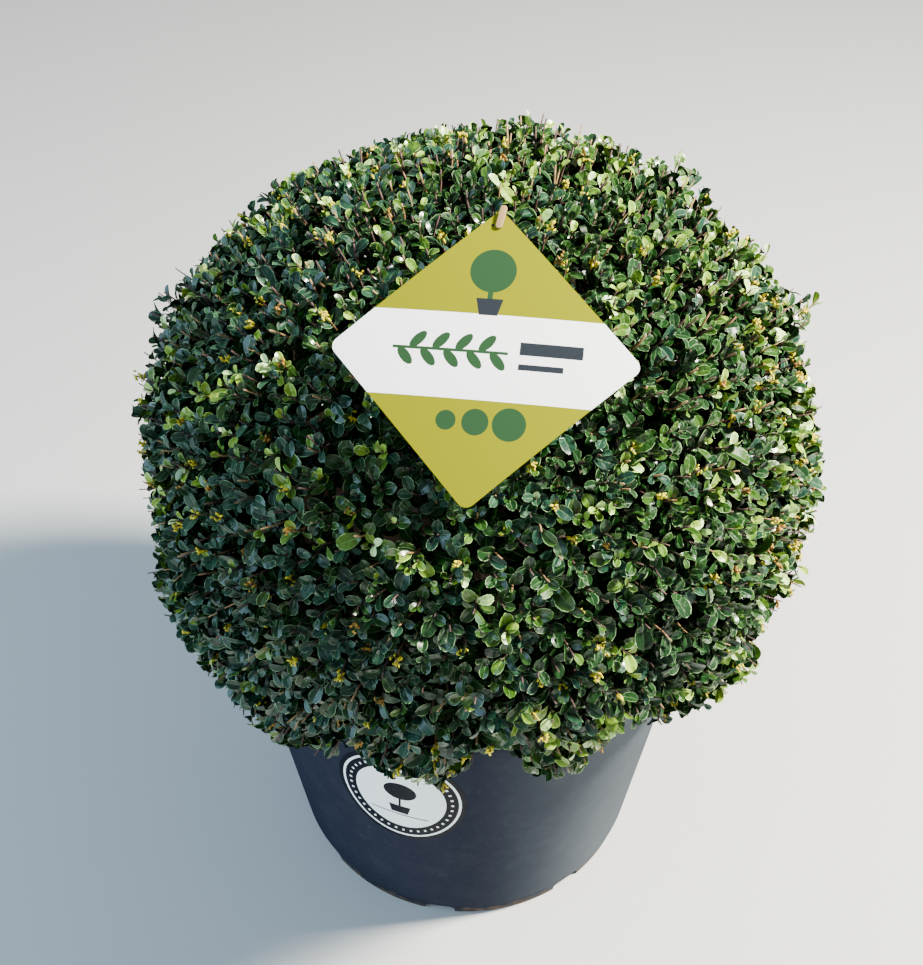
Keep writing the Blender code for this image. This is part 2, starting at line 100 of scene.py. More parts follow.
class Finish:
    # one material and the few ways in which its nodes are added

    def __init__(self, name, **fixed):
        self.material = bpy.data.materials.new(name)
        self.material.use_nodes = True
        self.tree = self.material.node_tree
        self.shader = self.tree.nodes["Principled BSDF"]
        for socket, value in fixed.items():
            self.shader.inputs[socket.replace("_", " ")].default_value = value

    def node(self, kind, settings=None, output=0, **values):
        node = self.tree.nodes.new(kind)
        for name, value in (settings or {}).items():
            setattr(node, name, value)
        for name, value in values.items():
            self.feed(self.socket(node, name), value)
        return Wire(self.tree, node.outputs[output])

    def socket(self, node, name):
        if name[0] == "n" and name[1:].isdigit():  # by number where names repeat
            return node.inputs[int(name[1:])]
        return node.inputs[name.replace("_", " ")]

    def feed(self, socket, value):
        if isinstance(value, Wire):
            self.tree.links.new(value.socket, socket)
        elif hasattr(value, "__len__") and len(value) == 3 and len(socket.default_value) == 4:
            socket.default_value = (*value, 1)
        else:
            socket.default_value = value

    def place(self):
        return self.node("ShaderNodeTexCoord", output="Object")

    def split(self, vector):
        return [self.node("ShaderNodeSeparateXYZ", output=axis, Vector=vector)
                for axis in ("X", "Y", "Z")]

    def noise(self, place, scale, detail=2.0, roughness=0.5):
        return self.node("ShaderNodeTexNoise", Vector=place, Scale=scale, Detail=detail,
                         Roughness=roughness)

    def step(self, value, low, high, start=0.0, end=1.0):
        return self.node("ShaderNodeMapRange", {"interpolation_type": "SMOOTHSTEP"},
                         Value=value, From_Min=low, From_Max=high, To_Min=start, To_Max=end)

    def blend(self, share, first, second):
        return self.node("ShaderNodeMix", {"data_type": "RGBA"}, output=2, n0=share,
                         n6=first, n7=second)

    def use(self, **sockets):
        for name, value in sockets.items():
            self.feed(self.shader.inputs[name.replace("_", " ")], value)
        return self.material

    def bump(self, height, strength, distance):
        relief = self.node("ShaderNodeBump", Height=height, Strength=strength,
                           Distance=distance)
        self.feed(self.shader.inputs["Normal"], relief)


def disc(across, along, x, y, wide, tall):
    return (((across - x) / wide).power(2.0) + ((along - y) / tall).power(2.0)).below(1.0)


def addPiece(name, mesh, material, slot, *replaced):
    piece = bpy.data.objects.new(name, mesh)
    bpy.context.scene.collection.objects.link(piece)
    mesh.materials.clear()
    mesh.materials.append(material)
    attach(piece, "root")
    if replaced:
        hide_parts(*replaced)
    return piece


def meshFromBmesh(name, shape, smoothAngle=None):
    mesh = bpy.data.meshes.new(name)
    shape.to_mesh(mesh)
    shape.free()
    if smoothAngle is not None:
        mesh.shade_smooth()
        mesh.set_sharp_from_angle(angle=math.radians(smoothAngle))
    return mesh


def meshFromArrays(name, points, triangles, uvs=None):
    mesh = bpy.data.meshes.new(name)
    mesh.vertices.add(len(points))
    mesh.vertices.foreach_set("co", points.astype(np.float32).ravel())
    mesh.loops.add(triangles.size)
    mesh.loops.foreach_set("vertex_index", triangles.astype(np.int32).ravel())
    mesh.polygons.add(len(triangles))
    mesh.polygons.foreach_set("loop_start", np.arange(0, triangles.size, 3, dtype=np.int32))
    if uvs is not None:
        layer = mesh.uv_layers.new(name="leafPlace")
        layer.data.foreach_set("uv", uvs[triangles.ravel()].astype(np.float32).ravel())
    mesh.update(calc_edges=True)
    mesh.polygons.foreach_set("use_smooth", np.ones(len(triangles), dtype=bool))
    return mesh


# the crown's rule of growth, as in the solids, carried on to finer twigs
crown = {
    "centre": np.array([0.011, 0.0, 0.581]),
    "halfWidth": 0.349,
    "halfHeight": 0.335,
    "lowest": math.radians(-36),
    # azimuth, elevation and half width in degrees, height in metres
    "swellings": ((9, 32, 12, 0.014), (28, 47, 9, 0.008), (-150, -15, 18, 0.010),
                  (131, 56, 22, -0.007), (-20, -5, 16, -0.007), (-165, 5, 9, -0.008),
                  (-38, -15, 6, 0.014), (-32, -10, 4, -0.030), (-26, -5, 4, 0.017),
                  (-16, 5, 7, 0.011), (-14, 7, 4, 0.002), (2, 24, 4, -0.006),
                  (6, 28, 3, 0.026), (9, 33, 4, -0.020), (14, 37, 3, 0.014),
                  (20, 41, 6, -0.008), (30, 48, 5, 0.016), (35, 51, 5, 0.009),
                  (53, 57, 4, 0.013), (71, 61, 4, 0.011), (90, 62, 45, 0.0025),
                  (147, 48, 7, 0.008), (162, 38, 4, 0.005), (-180, 22, 4, 0.001),
                  (174, 28, 5, 0.020), (-176, 17, 5, 0.010), (-161, 0, 6, -0.034),
                  (-156, -5, 4, 0.008), (-131, -25, 8, 0.014), (-46, -24, 6, 0.006)),
    # bays in the hem: azimuth and half width in degrees, depth in metres
    "bays": ((-114, 4, 0.022), (-87, 6, 0.048), (-59, 8, 0.050), (-8, 6, 0.030),
             (38, 7, 0.035), (84, 6, 0.030), (127, 8, 0.035), (172, 6, 0.030)),
    "bayTop": -6,
    "bayFloor": -20,
    # tiers of limbs: number, share of the reach; then sides, rings and relief of each
    "tiers": ((9, 0.45), (42, 0.76), (300, 0.80), (1250, 0.86)),
    "tierRadii": (0.0085, 0.0050, 0.0030, 0.0019),
    "tierShake": 0.20,
    "tierDetail": ((10, 14, 0.10), (10, 14, 0.10), (5, 6, 0.06), (5, 6, 0.06)),
    "bend": 0.45,
    "taper": 0.62,
    "forkHeight": 0.52,
    "lean": 0.008,
}
shoots = {
    "count": 3250,
    "shake": 1.0,
    "springShare": 0.93,   # share of the reach from which the nearest twig end is sought
    "tipShare": (0.974, 1.007),
    "sprayOffset": 0.004,  # how far whole sprays stand out or stay back
    "offsetLimits": (-0.009, 0.006),
    "gather": 0.22,        # how far shoots draw together into sprays
    "tuftShare": 0.010,    # share of shoots that the shears missed
    "tuftLength": 0.013,
    # single long shoots: azimuth, elevation, how far they stand out
    "strays": ((-158, -4, 0.014), (-36, 2, 0.014), (61, 52, 0.016), (165, 30, 0.014),
               (20, 5, 0.015), (100, 20, 0.015), (-120, 40, 0.012)),
    "lift": 0.30,          # how far shoots turn upwards
    "waver": 0.16,         # how far they turn aside
    "bend": 0.60,          # how much of the length the outer, straighter part takes
    # azimuth, elevation and half width in degrees of where they do so most, and where
    # leaves are missing low on the shoots
    "uprightWay": (38, 42, 40),
    "bareWay": (38, 42, 34),
    "uprightLift": 0.55,
    "rootRadius": 0.0013,
    "tipRadius": 0.0008,
    "tanShare": 0.22,
    "bareShares": (0.12, 0.30),  # share that is missing everywhere, and further in bareWay
    "bareBelow": 0.75,
    "sides": 4,
    "rings": 5,
}
leaves = {
    "perShoot": 11,
    "length": 0.0190,
    "width": 0.0112,
    "lengthSpread": 0.20,
    "cup": 0.0019,
    "arch": 0.0018,
    "firstPlace": 0.12,
    "spread": (72, 22),
    "tipSize": 0.55,
    "sizeByHeight": (1.18, 0.84),
    "innerCount": 5,       # the lowest leaves on each shoot, which are old, and painted near-black as the shade deep in the crown
    "clipTolerance": 0.006,
    "turnShake": 0.25,
    "spreadShake": 0.27,
    "faceShake": 0.30,
}
buds = {
    "length": 0.0058,
    "width": 0.0022,
    "perCluster": (8, 15),
    "room": 0.0042,
    "depth": 0.006,
    "sizes": (0.7, 1.2),
    "share": 0.10,
    # azimuth, elevation, half width in degrees, share of shoots in bloom there
    "zones": ((-35, -5, 26, 0.34), (-12, 20, 20, 0.30), (-160, 5, 14, 0.25),
              (-100, -18, 20, 0.18), (30, 45, 20, 0.15)),
}


def wayFrom(azimuth, elevation):
    level = math.cos(elevation)
    return np.array([level * math.cos(azimuth), level * math.sin(azimuth), math.sin(elevation)])


def normalised(vectors):
    return vectors / np.linalg.norm(vectors, axis=-1, keepdims=True)


def crownReach(ways):
    level = np.hypot(ways[:, 0], ways[:, 1])
    reach = 1 / np.hypot(level / crown["halfWidth"], ways[:, 2] / crown["halfHeight"])
    for azimuth, elevation, halfWidth, height in crown["swellings"]:
        lobe = wayFrom(math.radians(azimuth), math.radians(elevation))
        angle = np.degrees(np.arccos(np.clip(ways @ lobe, -1, 1)))
        reach = reach + height * np.exp(-(angle / halfWidth) ** 2)
    elevations = np.degrees(np.arcsin(np.clip(ways[:, 2], -1, 1)))
    azimuths = np.degrees(np.arctan2(ways[:, 1], ways[:, 0]))
    down = np.interp(-elevations, (-crown["bayTop"], -crown["bayFloor"]), (0, 1))
    for azimuth, halfWidth, depth in crown["bays"]:
        aside = (azimuths - azimuth + 180) % 360 - 180
        reach = reach - depth * np.exp(-(aside / halfWidth) ** 2) * down ** 2 * (3 - 2 * down)
    return reach


def spreadWays(count, shake, rng):
    lowest = math.sin(crown["lowest"])
    index = np.arange(count)
    height = 1 - (1 - lowest) * (index + 0.5) / count
    level = np.sqrt(1 - height ** 2)
    turn = index * goldenAngle
    ways = np.stack([level * np.cos(turn), level * np.sin(turn), height], axis=1)
    ways += rng.uniform(-1, 1, ways.shape) * shake / math.sqrt(count)
    return normalised(ways)


def nearest(points, parents):
    best = np.empty(len(points), dtype=int)
    for start in range(0, len(points), 500):
        some = points[start:start + 500]
        apart = np.linalg.norm(some[:, None] - parents[None], axis=2)
        best[start:start + 500] = apart.argmin(axis=1)
    return best


def clearOfPot(points):
    rim = potHigh[0] + 0.002
    above = points[..., 2] > potHigh[2] + 0.003
    outside = np.hypot(points[..., 0], points[..., 1]) > rim
    return above | outside


def bentLine(starts, middles, ends, share):
    return ((1 - share) ** 2 * starts[:, None] + 2 * share * (1 - share) * middles[:, None]
            + share ** 2 * ends[:, None])


def sidesOf(axis):
    # two directions square to each axis
    helper = np.where(np.abs(axis[..., 2:3]) > 0.9, [[1.0, 0, 0]], [[0, 0, 1.0]])
    first = normalised(np.cross(axis, helper))
    return first, np.cross(axis, first)


def tubeFaces(sides, rings):
    # triangles of one closed tube, whose points run ring by ring
    ring = np.arange(sides)
    following = (ring + 1) % sides
    faces = []
    for row in range(rings - 1):
        low, high = row * sides, (row + 1) * sides
        faces += [np.stack([low + ring, low + following, high + following], axis=1),
                  np.stack([low + ring, high + following, high + ring], axis=1)]
    fan = np.arange(1, sides - 1)
    last = (rings - 1) * sides
    faces += [np.stack([fan * 0, fan + 1, fan], axis=1),
              np.stack([fan * 0 + last, last + fan, last + fan + 1], axis=1)]
    return np.concatenate(faces)


def tubes(starts, middles, ends, startRadii, endRadii, sides, rings, relief=0.0, rng=None):
    # tapering tubes along bent lines, all in one pair of arrays
    share = np.linspace(0, 1, rings)[None, :, None]
    sideA, sideB = sidesOf(normalised(ends - starts))
    turn = np.arange(sides) * math.tau / sides
    around = np.cos(turn)[:, None] * sideA[:, None] + np.sin(turn)[:, None] * sideB[:, None]
    radii = startRadii[:, None] + (endRadii - startRadii)[:, None] * share[..., 0]
    radii = np.repeat(radii[:, :, None], sides, axis=2)
    if relief:
        radii = radii * (1 + relief * rng.uniform(-1, 1, radii.shape))
    line = bentLine(starts, middles, ends, share)
    points = line[:, :, None] + radii[..., None] * around[:, None]
    offsets = np.arange(len(starts))[:, None, None] * rings * sides
    return points.reshape(-1, 3), (tubeFaces(sides, rings)[None] + offsets).reshape(-1, 3)


def growLimbs(rng):
    # boughs and branches, each from the nearest end of the tier before it
    parents = np.array([[crown["lean"], 0, crown["forkHeight"]]])
    parentWays = np.array([[0, 0, 1.0]])
    parts = []
    for (count, share), radius in zip(crown["tiers"], crown["tierRadii"]):
        ways = spreadWays(count, crown["tierShake"], rng)
        ends = crown["centre"] + ways * (crownReach(ways) * share)[:, None]
        chosen = nearest(ends, parents)
        starts = parents[chosen]
        length = np.linalg.norm(ends - starts, axis=1, keepdims=True)
        middles = starts + parentWays[chosen] * length * crown["bend"]
        keep = clearOfPot(ends) & clearOfPot((starts + ends) / 2)
        size = np.full(count, radius)
        parts.append((starts[keep], middles[keep], ends[keep], size[keep],
                      size[keep] * crown["taper"]))
        parents, parentWays = ends[keep], normalised(ends - middles)[keep]
    return parts, parents


tagSpot = {
    "side": 0.179,
    "distance": 0.362,
    "azimuth": math.radians(-89.9),
    "elevation": math.radians(54.9),
    "tilt": math.radians(32.8),
    "twist": math.radians(-12.5),
    "turn": math.radians(48.6),
    "holeInset": 0.0100,
}


def tagFrame():
    way = wayFrom(tagSpot["azimuth"], tagSpot["elevation"])
    centre = Vector(crown["centre"] + way * tagSpot["distance"])
    turn = (Matrix.Rotation(tagSpot["twist"], 4, "Z")
            @ Matrix.Rotation(tagSpot["tilt"], 4, "X"))
    return Matrix.Translation(centre) @ turn @ Matrix.Rotation(tagSpot["turn"], 4, "Z")


def clearOfTag(points):
    inverse = np.array(tagFrame().inverted())
    local = points @ inverse[:3, :3].T + inverse[:3, 3]
    half = tagSpot["side"] / 2 + 0.001
    over = (np.abs(local[..., 0]) < half) & (np.abs(local[..., 1]) < half)
    return ~(over & (local[..., 2] > -0.0015))


def closeTo(ways, azimuth, elevation, halfWidth):
    lobe = wayFrom(math.radians(azimuth), math.radians(elevation))
    angle = np.degrees(np.arccos(np.clip(ways @ lobe, -1, 1)))
    return np.exp(-(angle / halfWidth) ** 2)


def growShoots(parents, rng):
    count = shoots["count"]
    ways = spreadWays(count, shoots["shake"], rng)
    chosen = nearest(crown["centre"] + ways * crownReach(ways)[:, None] * shoots["springShare"],
                     parents)
    sprayWays = normalised(parents - crown["centre"])[chosen]
    ways = normalised(ways * (1 - shoots["gather"]) + sprayWays * shoots["gather"])
    low, high = shoots["tipShare"]
    reach = crownReach(ways) * rng.uniform(low, high, count)
    offsets = rng.normal(0, shoots["sprayOffset"], len(parents))
    reach += offsets[chosen].clip(*shoots["offsetLimits"])
    reach += (rng.random(count) < shoots["tuftShare"]) * shoots["tuftLength"]
    for azimuth, elevation, further in shoots["strays"]:
        lobe = wayFrom(math.radians(azimuth), math.radians(elevation))
        reach[(ways @ lobe).argmax()] += further
    ends = crown["centre"] + ways * reach[:, None]
    starts = parents[chosen]
    upright = closeTo(ways, *shoots["uprightWay"]) * shoots["uprightLift"]
    lift = (shoots["lift"] + upright) * np.clip(ways[:, 2] + 0.6, 0, 1)
    outwards = ways + rng.normal(0, shoots["waver"], ways.shape)
    outwards[:, 2] += lift
    length = np.linalg.norm(ends - starts, axis=1, keepdims=True)
    middles = ends - normalised(outwards) * length * shoots["bend"]
    keep = clearOfPot(ends) & clearOfTag(ends) & clearOfPot(middles) & clearOfTag(middles)
    return starts[keep], middles[keep], ends[keep], ways[keep], chosen[keep]


def leafShape():
    # two halves, folded along the rib, of ten triangles each; widest past the middle
    stations = ((0.0, 0.0), (0.12, 0.34), (0.33, 0.78), (0.60, 1.0), (0.81, 0.92),
                (0.955, 0.58), (1.0, 0.0))
    points, uvs, triangles = [], [], []
    for side in (-1, 1):
        first = len(points)
        for along, half in stations:
            bend = -leaves["arch"] * (2 * along - 0.8) ** 2
            for out in (0, 1)[:2 if half else 1]:
                points.append((along * leaves["length"], out * side * half * leaves["width"] / 2,
                               bend + leaves["cup"] * half * out))
                uvs.append((0.5 + out * side / 2, along))
        strip = [(0, 1, 2)] + [(rib, rib + 1, rib + 3) for rib in (1, 3, 5, 7)]
        strip += [(rib, rib + 3, rib + 2) for rib in (1, 3, 5, 7)] + [(9, 10, 11)]
        for corners in strip:
            corners = corners if side < 0 else corners[::-1]
            triangles.append([first + corner for corner in corners])
    return np.array(points), np.array(triangles), np.array(uvs)


def growLeaves(starts, middles, ends, rng):
    # alternate leaves up each shoot; gives placements and the shoot of each leaf
    count, perShoot = len(starts), leaves["perShoot"]
    number = np.arange(perShoot)
    place = leaves["firstPlace"] + (1 - leaves["firstPlace"]) * number / (perShoot - 1)
    share = place[None, :, None]
    roots = bentLine(starts, middles, ends, share)
    axis = normalised((1 - share) * (middles - starts)[:, None]
                      + share * (ends - middles)[:, None])
    sideA, sideB = sidesOf(axis)
    turn = rng.uniform(0, math.tau, (count, 1)) + number[None] * goldenAngle
    turn = (turn + rng.normal(0, leaves["turnShake"], turn.shape))[..., None]
    sideways = np.cos(turn) * sideA + np.sin(turn) * sideB
    first, final = leaves["spread"]
    spread = np.radians(first + (final - first) * (number / (perShoot - 1)) ** 1.8)
    spread = spread[None] + rng.normal(0, leaves["spreadShake"], (count, perShoot))
    spread = spread[..., None]
    along = normalised(np.cos(spread) * axis + np.sin(spread) * sideways)
    face = axis + rng.normal(0, leaves["faceShake"], axis.shape)
    across = normalised(np.cross(face, along))
    face = np.cross(along, across)
    size = 1 - (1 - leaves["tipSize"]) * (number / (perShoot - 1)) ** 4
    size = size[None] * np.exp(rng.normal(0, leaves["lengthSpread"], (count, perShoot)))
    heights = normalised(ends - crown["centre"])[:, 2]
    size = size * np.interp(heights, (-0.5, 0.9), leaves["sizeByHeight"])[:, None]
    turns = np.stack([along, across, face], axis=-1)
    return roots, turns, size


def keepLeaves(roots, turns, size):
    tips = roots + turns[..., 0] * (size * leaves["length"])[..., None]
    middles = (roots + tips) / 2
    out = tips - crown["centre"]
    distance = np.linalg.norm(out, axis=-1)
    reach = crownReach(normalised(out).reshape(-1, 3)).reshape(distance.shape)
    keep = distance < reach + leaves["clipTolerance"]
    for points in (tips, middles, roots):
        keep &= clearOfPot(points) & clearOfTag(points)
    return keep


def copies(points, triangles, uvs, roots, turns, sizes):
    count = len(roots)
    placed = np.einsum("nij,kj->nki", turns, points) * sizes[:, None, None] + roots[:, None]
    faces = triangles[None] + np.arange(count)[:, None, None] * len(points)
    return placed.reshape(-1, 3), faces.reshape(-1, 3), np.tile(uvs, (count, 1))


def budShape():
    shape = bmesh.new()
    bmesh.ops.create_icosphere(shape, subdivisions=1, radius=0.5)
    bmesh.ops.scale(shape, vec=(buds["length"], buds["width"], buds["width"]),
                    verts=shape.verts)
    bmesh.ops.triangulate(shape, faces=shape.faces)
    points = np.array([vert.co[:] for vert in shape.verts])
    triangles = np.array([[vert.index for vert in face.verts] for face in shape.faces])
    shape.free()
    return points, triangles


def growBuds(middles, ends, ways, rng):
    share = np.full(len(ends), buds["share"])
    for azimuth, elevation, halfWidth, there in buds["zones"]:
        share = np.maximum(share, closeTo(ways, azimuth, elevation, halfWidth) * there)
    inBloom = np.flatnonzero(rng.random(len(ends)) < share)
    number = rng.integers(*buds["perCluster"], len(inBloom))
    owner = np.repeat(inBloom, number)
    back = normalised(middles - ends)[owner]
    spots = ends[owner] + rng.normal(0, 0.45, (len(owner), 3)) * buds["room"]
    spots += back * rng.uniform(0, buds["depth"], (len(owner), 1))
    along = normalised(-back + rng.normal(0, 0.5, back.shape))
    helper = normalised(rng.normal(0, 1, back.shape))
    across = normalised(np.cross(helper, along))
    turns = np.stack([along, across, np.cross(along, across)], axis=-1)
    sizes = rng.uniform(*buds["sizes"], len(owner))
    keep = clearOfPot(spots) & clearOfTag(spots)
    return spots[keep], turns[keep], sizes[keep], owner[keep]


def leafFinish(name, green, paler, roughness, rim, shine):
    finish = Finish(name, Coat_Weight=shine, Coat_Roughness=0.21, Roughness=roughness,
                    Specular_IOR_Level=shine / 5)
    placeOnLeaf = finish.node("ShaderNodeUVMap", {"uv_map": "leafPlace"})
    across, along, _ = finish.split(placeOnLeaf)
    fromRib = abs(across - 0.5) * 2
    rib = finish.step(fromRib, 0.03, 0.12, 1.0, 0.0) * finish.step(along, 0.3, 0.9, 1.0, 0.3)
    # painted highlight along the leaf edges, where light catches them; noise makes it strong on
    # some leaves and weak on others
    rimGlint = finish.step(fromRib, 0.88, 0.96).most(finish.step(along, 0.96, 0.99))
    spot = finish.noise(finish.place(), 60.0, 1.0)
    rimGlint = rimGlint * finish.step(finish.noise(finish.place(), 85.0, 1.0), 0.40, 0.60, 0.10, 1.0)
    mottle = finish.step(spot, 0.35, 0.65)
    colour = finish.blend(mottle, green, paler)
    # pale colour of the leaf's own rib line, and of the painted highlight on the edges
    pale = [part * 2.0 + shift for part, shift in zip(paler, (0.34, 0.47, 0.24))]
    colour = finish.blend((rib * 0.22).most(rimGlint * rim), colour, pale)
    finish.bump(finish.noise(finish.place(), 240.0, 1.0), 0.8, 0.0018)
    return finish.use(Base_Color=colour)


print("growing the crown")
rng = np.random.default_rng(41)
limbParts, twigEnds = growLimbs(rng)
starts, middles, ends, shootWays, sprayOf = growShoots(twigEnds, rng)
roots, turns, size = growLeaves(starts, middles, ends, rng)
kept = keepLeaves(roots, turns, size)
shootCount = len(starts)
print("shoots", shootCount, "leaves", int(kept.sum()))


def barkFinish(name, dark, pale, scale):
    finish = Finish(name, Roughness=0.75)
    tone = finish.noise(finish.place(), scale, 3.0)
    finish.use(Base_Color=finish.blend(finish.step(tone, 0.3, 0.7), dark, pale))
    finish.bump(tone, 0.5, 0.001)
    return finish.material


stemBark = barkFinish("stemBark", (0.075, 0.055, 0.040), (0.22, 0.18, 0.13), 120.0)
twigBark = barkFinish("twigBark", (0.035, 0.016, 0.015), (0.12, 0.060, 0.045), 160.0)
tanBark = barkFinish("tanBark", (0.23, 0.115, 0.045), (0.44, 0.27, 0.120), 160.0)

# boughs and branches inside the ball
limbTubes = [tubes(*part, *detail, rng)
             for part, detail in zip(limbParts, crown["tierDetail"])]
bases = np.cumsum([0] + [len(points) for points, _ in limbTubes[:-1]])
addPiece("boughs", meshFromArrays("boughs", np.concatenate([tube[0] for tube in limbTubes]),
         np.concatenate([tube[1] + base for tube, base in zip(limbTubes, bases)])),
         stemBark, "bark", "crown")

tan = rng.random(shootCount) < shoots["tanShare"]
for name, bark, mine in (("twigs", twigBark, ~tan), ("twigsTan", tanBark, tan)):
    full = np.full(int(mine.sum()), 1.0)
    points, faces = tubes(starts[mine], middles[mine], ends[mine], full * shoots["rootRadius"],
                          full * shoots["tipRadius"], shoots["sides"], shoots["rings"])
    addPiece(name, meshFromArrays(name, points, faces), bark, "bark", "crown")
print("twigs done")

# leaves, dealt out to the tones by spray; each shoot may differ a little from its spray
leafTones = (
    # name, colour, paler colour, roughness, strength of the painted highlight on the rim, shine,
    # share of the leaves
    ("leavesDark", (0.0048, 0.025, 0.0065), (0.0092, 0.041, 0.0085), 0.40, 0.70, 0.45, 0.47),
    ("leavesFull", (0.0072, 0.033, 0.004), (0.0140, 0.053, 0.006), 0.38, 0.85, 0.50, 0.20),
    ("leavesMid", (0.0155, 0.051, 0.004), (0.029, 0.081, 0.006), 0.38, 1.00, 0.58, 0.12),
    ("leavesFresh", (0.042, 0.104, 0.005), (0.078, 0.168, 0.009), 0.36, 1.00, 0.66, 0.085),
    ("leavesYoung", (0.160, 0.285, 0.018), (0.280, 0.430, 0.042), 0.38, 1.00, 0.66, 0.08),
    # young growth near the tips, and partly a painted glint: the palest leaves stand in for sun
    # catching glossy leaves
    ("leavesPale", (0.35, 0.55, 0.14), (0.56, 0.76, 0.31), 0.40, 0.90, 0.66, 0.045),
)
# painted shade: on the shady side these bluish ones take the place of the darker tones
shadeTones = (
    ("leavesShade", (0.006, 0.030, 0.018), (0.011, 0.048, 0.026), 0.42, 0.65, 0.45, 0.47),
    ("leavesDusk", (0.013, 0.048, 0.024), (0.023, 0.074, 0.037), 0.40, 0.80, 0.50, 0.27),
)
# painted shade: the inner leaves are near-black and almost without shine, so the crown looks
# dark between the sprays
innerShadeTone = ("leavesInnerShade", (0.0018, 0.012, 0.0020), (0.0035, 0.020, 0.003), 0.6, 0.10, 0.03)
dealing = {
    # how far the spray, the shoot, the place up the shoot and chance set a leaf's tone
    "bySpray": 0.40,
    "byShoot": 0.45,
    "upShoot": 0.50,
    "byLeaf": 0.06,
    # painted light and shade: zones where the tones are paler on the sunlit right and its lit
    # hem lobe, and darker in shaded patches on the front and low on the left; azimuth, elevation
    # and half width in degrees, how much paler
    "zones": ((5, -5, 80, 0.12), (-125, -25, 40, -0.12), (-78, -12, 15, 0.19),
              (-60, 5, 14, -0.30), (-112, 3, 18, -0.30)),
    "shadyWay": (-165, 0, 70),
    "shadyShares": (0.10, 0.90),  # everywhere, and further on the shady side
}
leafPoints, leafTriangles, leafUvs = leafShape()
tint = (dealing["bySpray"] * rng.random(len(twigEnds))[sprayOf]
        + dealing["byShoot"] * rng.random(shootCount))
# painted light and shade: the zones make the tones paler where light falls and darker where
# shade falls
for azimuth, elevation, halfWidth, paler in dealing["zones"]:
    tint += closeTo(shootWays, azimuth, elevation, halfWidth) * paler
number = np.arange(leaves["perShoot"])[None]
upShoot = number / (leaves["perShoot"] - 1)
tint = (tint[:, None] + dealing["upShoot"] * upShoot
        + rng.normal(0, dealing["byLeaf"], kept.shape))
inner = number < leaves["innerCount"]
lowShare, highShare = shoots["bareShares"]
bare = lowShare + closeTo(shootWays, *shoots["bareWay"]) * highShare
bare = rng.random(kept.shape) < bare[:, None] * (upShoot < shoots["bareBelow"])
outer = kept & ~inner & ~bare
dealt = np.zeros(kept.shape)
dealt[outer] = np.argsort(np.argsort(tint[outer])) / outer.sum()


def addLeaves(tone, chosen):
    name = tone[0]
    points, faces, uvs = copies(leafPoints, leafTriangles, leafUvs, roots[chosen],
                                turns[chosen], size[chosen])
    addPiece(name, meshFromArrays(name, points, faces, uvs), leafFinish(*tone), "foliage",
             "crown")
    print(name, len(faces))


# painted shade: the bluish tones go to shoots on the shady side
lowShare, highShare = dealing["shadyShares"]
shady = lowShare + highShare * closeTo(shootWays, *dealing["shadyWay"])
shady = (rng.random(shootCount) < shady)[:, None]
shady = shady & (dealt < sum(tone[-1] for tone in shadeTones))
for tones, chosen in ((shadeTones, outer & shady), (leafTones, outer & ~shady)):
    edge = 0.0
    for *tone, share in tones:
        addLeaves(tone, chosen & (dealt >= edge) & (dealt < edge + share))
        edge += share
half = (np.arange(shootCount) % 2 == 0)[:, None]
addLeaves(innerShadeTone, kept & inner & half)
addLeaves(("leavesOldShade", *innerShadeTone[1:]), kept & inner & ~half)

# buds in clusters at the tips
budPoints, budTriangles = budShape()
spots, budTurns, budSizes, owner = growBuds(middles, ends, shootWays, rng)
for name, dark, pale, mine in (
        ("budsYellow", (0.52, 0.41, 0.002), (0.74, 0.64, 0.010), owner % 4 > 0),
        ("budsOchre", (0.26, 0.115, 0.008), (0.44, 0.24, 0.015), owner % 4 == 0)):
    points, faces, _ = copies(budPoints, budTriangles, np.zeros((len(budPoints), 2)),
                              spots[mine], budTurns[mine], budSizes[mine])
    finish = Finish(name, Roughness=0.55)
    tone = finish.noise(finish.place(), 300.0, 1.0)
    addPiece(name, meshFromArrays(name, points, faces),
             finish.use(Base_Color=finish.blend(finish.step(tone, 0.35, 0.65), dark, pale)),
             "foliage", "crown")
    print(name, len(faces))


# pot
pot = {
    "wall": 0.004,
    "floor": 0.005,
    "band": 0.012,
    "bandStep": 0.002,
    "foot": 0.022,
    "footStep": 0.0025,
    "baseRadius": 0.216,
    "topRadius": 0.264,
    "drains": 8,
    "drainWidth": 0.038,
    "drainHeight": 0.014,
    "firstDrain": math.radians(-99),
    "segments": 160,
}


def potRadius(height):
    return pot["baseRadius"] + (pot["topRadius"] - pot["baseRadius"]) * height / potHigh[2]


def potMesh():
    top = potHigh[2]
    bandLow = top - pot["band"]
    rimOut = potRadius(top) + pot["bandStep"]
    rimIn = potRadius(top) - pot["wall"]
    footRadius = potRadius(pot["foot"]) - pot["footStep"]
    soft = 0.0012
    profile = [
        (0, pot["floor"]), (footRadius - pot["wall"] - soft, pot["floor"]),
        (footRadius - pot["wall"], pot["foot"]), (potRadius(bandLow) - pot["wall"], bandLow),
        (rimIn, top - soft), (rimIn + soft * 0.3, top - soft * 0.3), (rimIn + soft, top),
        (rimOut - soft, top), (rimOut - soft * 0.3, top - soft * 0.3), (rimOut, top - soft),
        (potRadius(bandLow) + pot["bandStep"], bandLow + soft),
        (potRadius(bandLow) + soft * 0.6, bandLow - soft * 0.4),
        (potRadius(bandLow), bandLow - soft * 1.5),
        (potRadius(pot["foot"]), pot["foot"] + pot["footStep"]),
        (footRadius, pot["foot"]), (pot["baseRadius"] - pot["footStep"], soft),
        (pot["baseRadius"] - pot["footStep"] - soft, 0), (0, 0),
    ]
    shape = bmesh.new()
    verts = [shape.verts.new((radius, 0, height)) for radius, height in profile]
    edges = [shape.edges.new(pair) for pair in zip(verts, verts[1:])]
    bmesh.ops.spin(shape, geom=verts + edges, cent=(0, 0, 0), axis=(0, 0, 1), dvec=(0, 0, 0),
                   angle=math.tau, steps=pot["segments"], use_merge=True)
    bmesh.ops.remove_doubles(shape, verts=shape.verts, dist=0.00002)
    bmesh.ops.recalc_face_normals(shape, faces=shape.faces)
    return meshFromBmesh("potShell", shape, 28)


